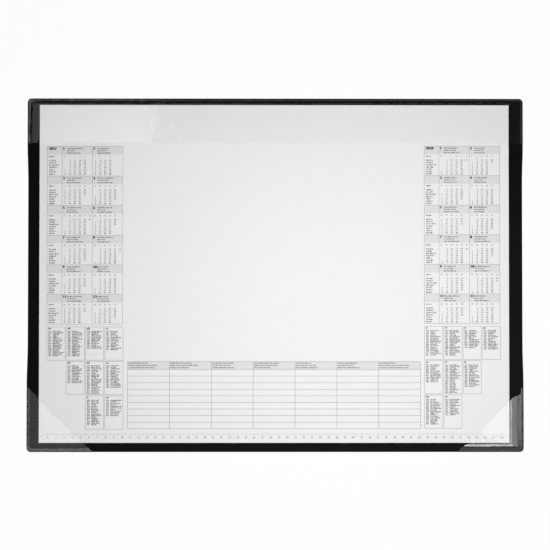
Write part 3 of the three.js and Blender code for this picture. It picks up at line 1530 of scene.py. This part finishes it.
@dataclass
class HeadBand(FilmPiece):
    """The band across the pad's head, welded at both sides and along the back."""

    depth: float = 55 * MM
    draw_back: float = 2.6 * MM
    draw_width: float = 1.5 * MM
    draw_sharpness: int = 6
    edge_lift: float = 0.04 * MM
    lift_reach: float = 5 * MM
    lift_sharpness: int = 4
    wave: float = 0.12 * MM
    wave_length: float = 96 * MM
    long_pitch: float = 9 * MM

    def build(self) -> bpy.types.Object:
        """Builds the band.

        Returns:
            The finished piece.
        """
        mat, pad = self.mat, self.pad
        left = self.section(pad.left - mat.left)
        right = self.section(mat.right - pad.right)
        behind = self.section(mat.back - pad.back)
        middle = (mat.right - mat.left) / 2
        from_left = self.edge.lines(left, middle + left.surplus, self.long_pitch)
        from_right = self.edge.lines(right, middle + right.surplus, self.long_pitch)
        spots = [(flat, left, 1.0) for flat in from_left]
        spots += [(flat, right, -1.0) for flat in reversed(from_right[:-1])]
        along = self.edge.lines(behind, self.depth + behind.surplus, self.pitch)
        grid = bmesh.new()
        rows = []
        for v in along:
            points = [self.bent(u, v, section, side, behind) for u, section, side in spots]
            rows.append([grid.verts.new(point) for point in points])
        self.fill(grid, rows, [spot[0] for spot in spots], along, is_turned=True)
        return self.solid(grid)

    def bent(
        self, across: float, along: float, section: DrapeSection, side: float, behind: DrapeSection
    ) -> Vector:
        """Bends one point of the flat band over the pad's head.

        Args:
            across: Its flat length from the nearer side of the mat.
            along: Its flat length from the mat's back.
            section: The film's section over that side's border.
            side: 1 at the left side and -1 at the right side.
            behind: The film's section over the back border.

        Returns:
            The point in place.
        """
        x, side_height = section.place(across)
        y, back_height = behind.place(along)
        height = soft_lower(side_height, back_height, self.crease)
        past = max(x - section.plans[-1], 0.0) / self.draw_width
        climb = side_height / section.heights[-1] * max(1 - past, 0.0)
        y -= self.draw_back * climb * (y / self.depth) ** self.draw_sharpness
        start = self.mat.left if side > 0 else self.mat.right
        place = start + side * self.edge.rounded(x, y)[0]
        on_pad = height / section.heights[-1]
        height += self.wave * on_pad * (1 + math.sin(place * math.tau / self.wave_length)) / 2
        to_free_edge = max(self.depth - y, 0.0)
        lifted = self.edge_lift * on_pad**self.lift_sharpness
        height += lifted * math.exp(-to_free_edge / self.lift_reach)
        if self.edge.is_seam(min(across, along)):
            height -= self.edge.seam_depth
        level = self.mat.top + max(height, 0.0)
        return Vector((place, self.mat.back - self.edge.rounded(x, y)[1], level))


@dataclass(frozen=True)
class Panel:
    """A rectangle that hangs in the studio and faces one spot."""

    name: str
    place: Vector
    aim: Vector
    size: Point

    def hang(self, carrier: bpy.types.Object) -> None:
        """Hangs an object in place, out of the camera's sight.

        Args:
            carrier: The light or the card.
        """
        carrier.location = self.place
        carrier.rotation_euler = (self.aim - self.place).to_track_quat("-Z", "Y").to_euler()
        carrier.visible_camera = False


@dataclass(frozen=True)
class Softbox(Panel):
    """A rectangular studio light."""

    power: float
    shine_only: bool = False

    @classmethod
    def overhead(cls, name: str, place: Vector, size: Point, power: float) -> "Softbox":
        """Describes a light that points straight down.

        Args:
            name: Its name.
            place: Where it hangs.
            size: Its width and depth.
            power: Its power.

        Returns:
            The light.
        """
        return cls(name, place, Vector((place.x, place.y, 0)), size, power)

    def build(self) -> None:
        """Hangs the light. A light for shine only shows in reflections and lights nothing else."""
        lamp = bpy.data.lights.new(self.name, "AREA")
        lamp.shape = "RECTANGLE"
        lamp.size, lamp.size_y = self.size
        lamp.energy = self.power
        carrier = add_to_scene(self.name, lamp)
        self.hang(carrier)
        carrier.visible_diffuse = not self.shine_only


@dataclass(frozen=True)
class DarkFlag(Panel):
    """A dark card that only reflections show, as black velvet does in a photographer's tent."""

    def build(self, finish: bpy.types.Material) -> None:
        """Hangs the card.

        Args:
            finish: Its dark material.
        """
        card = new_sheet(self.name, self.size, 0.0, finish)
        self.hang(card)
        card.visible_diffuse = False
        card.visible_shadow = False


@dataclass
class Studio:
    """The white ground, the even light of a pale room and the softboxes."""

    ground_size: float = 30.0
    ground_drop: float = 0.3 * MM
    ground_colour: Colour = grey(0.9)
    ground_white: float = 0.94
    room_level: float = 0.23
    boxes: tuple[Softbox, ...] = (
        Softbox.overhead("top_softbox", Vector((0.08, -0.05, 0.7)), (0.35, 0.35), 3.6),
        Softbox.overhead("high_right", Vector((0.655, -0.09, 1.5)), (0.585, 0.57), 3.3),
        Softbox.overhead("high_left", Vector((-0.412, -0.06, 1.3)), (0.312, 0.98), 2.35),
        Softbox(
            "right_panel",
            place=Vector((1.15, -0.5, 0.95)),
            aim=Vector((0.28, -0.17, 0)),
            size=(0.85, 0.85),
            power=10,
            shine_only=True,
        ),
        Softbox(
            "low_right_panel",
            place=Vector((1.43, -0.4, 0.35)),
            aim=Vector((0.28, -0.17, 0)),
            size=(0.6, 0.6),
            power=9,
            shine_only=True,
        ),
        Softbox(
            "front_panel",
            place=Vector((0.55, -1.3, 0.5)),
            aim=Vector((0.25, -0.2, 0)),
            size=(0.9, 0.9),
            power=30,
            shine_only=True,
        ),
    )
    flags: tuple[DarkFlag, ...] = (
        DarkFlag(
            "back_flag",
            place=Vector((0.75, 0.965, 0.8)),
            aim=Vector((0.75, 0.224, 0.128)),
            size=(3.2, 1.89),
        ),
        DarkFlag(
            "side_flag",
            place=Vector((1.09, 0.85, 0.8)),
            aim=Vector((0.28, 0.85, 0.216)),
            size=(1.3, 1.73),
        ),
    )
    velvet: Colour = grey(0.01)

    def build(self) -> None:
        """Sets up the ground, the room's light, the softboxes and the dark cards."""
        self.build_ground()
        self.build_room()
        for box in self.boxes:
            box.build()
        velvet = Shading("black_velvet")
        finish = velvet.finish(velvet.add("BsdfDiffuse", Color=(*self.velvet, 1)))
        for flag in self.flags:
            flag.build(finish)
        view = bpy.context.scene.view_settings
        view.view_transform = "Standard"
        LOG.info("studio: %d softboxes", len(self.boxes))

    def build_ground(self) -> None:
        """Lays the ground: pale, and near white to the camera with a faint shadow."""
        shading = Shading("white_ground")
        matte = shading.add("BsdfDiffuse", Color=(*self.ground_colour, 1))
        white = shading.add("Emission", Color=WHITE, Strength=1.0)
        share = shading.add("Math")
        share.operation = "MULTIPLY"
        share.inputs[1].default_value = self.ground_white
        shading.link(self.seen_rays(shading.tree), share.inputs[0])
        mixed = shading.mixed(share.outputs[0], matte, white)
        size = (self.ground_size, self.ground_size)
        ground = new_sheet("ground", size, -self.ground_drop, shading.finish(mixed))

    @staticmethod
    def seen_rays(tree: bpy.types.NodeTree) -> bpy.types.NodeSocket:
        """Whether a ray comes from the camera, a reflection or a clear material.

        Args:
            tree: The nodes that need to know.

        Returns:
            A value that is 1 for those rays and 0 for the light's own.
        """
        path = tree.nodes.new("ShaderNodeLightPath")
        seen = path.outputs["Is Camera Ray"]
        for kind in ("Is Glossy Ray", "Is Transmission Ray"):
            either = tree.nodes.new("ShaderNodeMath")
            either.operation = "MAXIMUM"
            tree.links.new(seen, either.inputs[0])
            tree.links.new(path.outputs[kind], either.inputs[1])
            seen = either.outputs[0]
        return seen

    def build_room(self) -> None:
        """Lights the scene evenly from all round, and shows plain white to whatever looks."""
        world = bpy.data.worlds.new("pale_room")
        bpy.context.scene.world = world
        world.use_nodes = True
        tree = world.node_tree
        tree.nodes.clear()
        room = tree.nodes.new("ShaderNodeBackground")
        room.inputs["Color"].default_value = WHITE
        room.inputs["Strength"].default_value = self.room_level
        white = tree.nodes.new("ShaderNodeBackground")
        white.inputs["Color"].default_value = WHITE
        mixed = tree.nodes.new("ShaderNodeMixShader")
        output = tree.nodes.new("ShaderNodeOutputWorld")
        tree.links.new(self.seen_rays(tree), mixed.inputs[0])
        tree.links.new(room.outputs[0], mixed.inputs[1])
        tree.links.new(white.outputs[0], mixed.inputs[2])
        tree.links.new(mixed.outputs[0], output.inputs["Surface"])


@dataclass(frozen=True)
class PhotoCamera:
    """The camera of the photograph: almost straight above the pad, leaning a degree.

    Its place and the distances that it sees are in metres, its angles in degrees, and its
    lens and sensor in millimetres.
    """

    place: Vector = Vector((-7.75 * MM, -25.93 * MM, 1500 * MM))
    lean: float = 0.9866
    side_lean: float = -0.2788
    turn: float = 0.0226
    lens: float = 80.601
    sensor: float = 36.0
    nearest: float = 0.01
    farthest: float = 50.0

    def build(self) -> bpy.types.Object:
        """Makes the camera the scene's own.

        Returns:
            The camera.
        """
        data = bpy.data.cameras.new("photo_camera")
        data.lens = self.lens
        data.sensor_width = self.sensor
        data.clip_start = self.nearest
        data.clip_end = self.farthest
        camera = add_to_scene("photo_camera", data)
        camera.location = self.place
        angles = [math.radians(angle) for angle in (self.lean, self.side_lean, self.turn)]
        camera.rotation_euler = Euler(angles, "XYZ")
        bpy.context.scene.camera = camera
        return camera


def main() -> None:
    """Dresses the model piece by piece, from the mat up to the films."""
    logging.basicConfig(level=logging.INFO, format="%(name)s: %(message)s")
    PhotoCamera().build()
    Studio().build()
    dress("base_mat", GrainedSheet().material())
    dress("backing_card", GREY_BOARD.material())
    dress("glue_binding", PADDING_GLUE.material())
    LeafStack().build()
    LeafPrint().build()
    finishes = FilmFinishes(ClearFilm().material(), WeldedFilm().material(), CutFilm().material())
    mat = NodeBox.of("base_mat")
    pad = replace(NodeBox.of("glue_binding"), front=NodeBox.of("leaf_block").front)
    HeadBand("film_head_band", "head_band", mat, pad, finishes).build()
    CornerPocket("film_pocket_left", "corner_pocket_left", mat, pad, finishes).build()
    CornerPocket(
        "film_pocket_right",
        "corner_pocket_right",
        mat,
        pad,
        finishes,
        edge=FilmEdge(bare=1.6 * MM),
        side=-1.0,
        bow=7.4 * MM,
    ).build()


if __name__ == "__main__":
    main()
